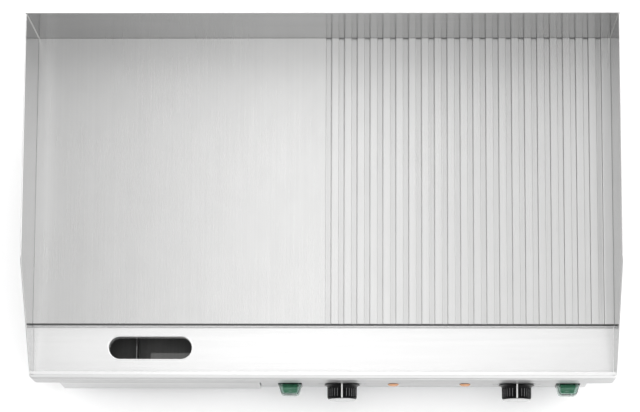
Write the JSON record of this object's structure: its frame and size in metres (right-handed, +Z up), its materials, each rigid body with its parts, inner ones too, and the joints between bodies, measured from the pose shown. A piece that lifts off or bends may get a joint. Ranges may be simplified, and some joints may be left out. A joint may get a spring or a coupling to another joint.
{
  "type": "electric griddle",
  "caption": "Countertop electric griddle with a half smooth, half grooved plate, splash guards, sloped grease trough with drain, grease drawer and front controls.",
  "frame": {"origin": "middle of the footprint on the surface that the feet stand on", "axes": "+X to the operator's right, -Y to the front where the controls are, +Z up"},
  "size_m": [0.733, 0.461, 0.245],
  "materials": {
    "ground_steel": "ground flat, fine satin",
    "stainless_top": "brushed stainless sheet",
    "stainless_body": "brushed stainless sheet",
    "galvanised": "zinc coated sheet",
    "mineral_board": "matte fibre board",
    "heater_sheath": "oxidised sheath",
    "zinc_steel": "zinc plated",
    "foot_rubber": "matte black",
    "ceramic": "matte white",
    "copper_tube": "drawn copper",
    "brass": "turned brass",
    "black_plastic": "glossy black",
    "satin_cap": "satin silver",
    "green_plastic": "translucent green",
    "clear_cover": "clear flexible plastic",
    "orange_lens": "translucent orange",
    "white_print": "white ink and inlay",
    "dark_print": "dark printed ink"
  },
  "bodies": {
    "body": {"griddle_plate": "ground_steel", "splash_back": "stainless_top", "splash_left": "stainless_top", "splash_right": "stainless_top", "grease_trough": "stainless_top", "side_panel_left": "stainless_body", "side_panel_right": "stainless_body", "rear_panel": "stainless_body", "control_panel": "stainless_body", "base_pan": "galvanised", "divider_wall": "galvanised", "heat_shield": "galvanised", "drawer_rail_left": "galvanised", "drawer_rail_right": "galvanised", "insulation_board": "mineral_board", "heating_element_left": "heater_sheath", "heater_clamp_left_front": "zinc_steel", "foot_nut_front_left": "zinc_steel", "heater_clamp_left_rear": "zinc_steel", "foot_nut_rear_left": "zinc_steel", "thermostat_body_left": "ceramic", "thermostat_probe_left": "copper_tube", "switch_housing_left": "black_plastic", "switch_cover_left": "clear_cover", "lamp_body_left": "black_plastic", "lamp_lens_left": "orange_lens", "heating_element_right": "heater_sheath", "heater_clamp_right_front": "zinc_steel", "foot_nut_front_right": "zinc_steel", "heater_clamp_right_rear": "zinc_steel", "foot_nut_rear_right": "zinc_steel", "thermostat_body_right": "ceramic", "thermostat_probe_right": "copper_tube", "switch_housing_right": "black_plastic", "switch_cover_right": "clear_cover", "lamp_body_right": "black_plastic", "lamp_lens_right": "orange_lens", "cable_gland": "black_plastic", "gland_locknut": "black_plastic", "earth_stud": "brass", "terminal_block": "ceramic", "safety_cutout": "ceramic"},
    "knob_turn_part_left": {"knob_left": "black_plastic", "knob_cap_left": "satin_cap", "thermostat_shaft_left": "zinc_steel"},
    "rocker_part_left": {"switch_rocker_left": "green_plastic"},
    "knob_turn_part_right": {"knob_right": "black_plastic", "knob_cap_right": "satin_cap", "thermostat_shaft_right": "zinc_steel"},
    "rocker_part_right": {"switch_rocker_right": "green_plastic"},
    "drawer": {"drawer_tray": "stainless_body", "drawer_front": "stainless_body", "drawer_baffle": "stainless_body"},
    "foot_part_front_left": {"foot_front_left": "foot_rubber"},
    "foot_part_front_right": {"foot_front_right": "foot_rubber"},
    "foot_part_rear_left": {"foot_rear_left": "foot_rubber"},
    "foot_part_rear_right": {"foot_rear_right": "foot_rubber"}
  },
  "joints": [
    {"name": "drawer_slide", "type": "slide", "parent": "body", "child": "drawer", "axis": [0, -1, 0], "range_m": [0, 0.27]},
    {"name": "knob_turn_left", "type": "hinge", "parent": "body", "child": "knob_turn_part_left", "pos_m": [0.0235, -0.219, 0.06], "axis": [0, 1, 0], "range_deg": [0, 270]},
    {"name": "knob_turn_right", "type": "hinge", "parent": "body", "child": "knob_turn_part_right", "pos_m": [0.2445, -0.219, 0.06], "axis": [0, 1, 0], "range_deg": [0, 270]},
    {"name": "rocker_tip_left", "type": "hinge", "parent": "body", "child": "rocker_part_left", "pos_m": [-0.0423, -0.208, 0.06], "axis": [1, 0, 0], "range_deg": [0, 24]},
    {"name": "rocker_tip_right", "type": "hinge", "parent": "body", "child": "rocker_part_right", "pos_m": [0.309, -0.208, 0.06], "axis": [1, 0, 0], "range_deg": [0, 24]},
    {"name": "foot_adjust_front_left", "type": "slide", "parent": "body", "child": "foot_part_front_left", "axis": [0, 0, -1], "range_m": [0, 0.012]},
    {"name": "foot_adjust_front_right", "type": "slide", "parent": "body", "child": "foot_part_front_right", "axis": [0, 0, -1], "range_m": [0, 0.012]},
    {"name": "foot_adjust_rear_left", "type": "slide", "parent": "body", "child": "foot_part_rear_left", "axis": [0, 0, -1], "range_m": [0, 0.012]},
    {"name": "foot_adjust_rear_right", "type": "slide", "parent": "body", "child": "foot_part_rear_right", "axis": [0, 0, -1], "range_m": [0, 0.012]}
  ]
}
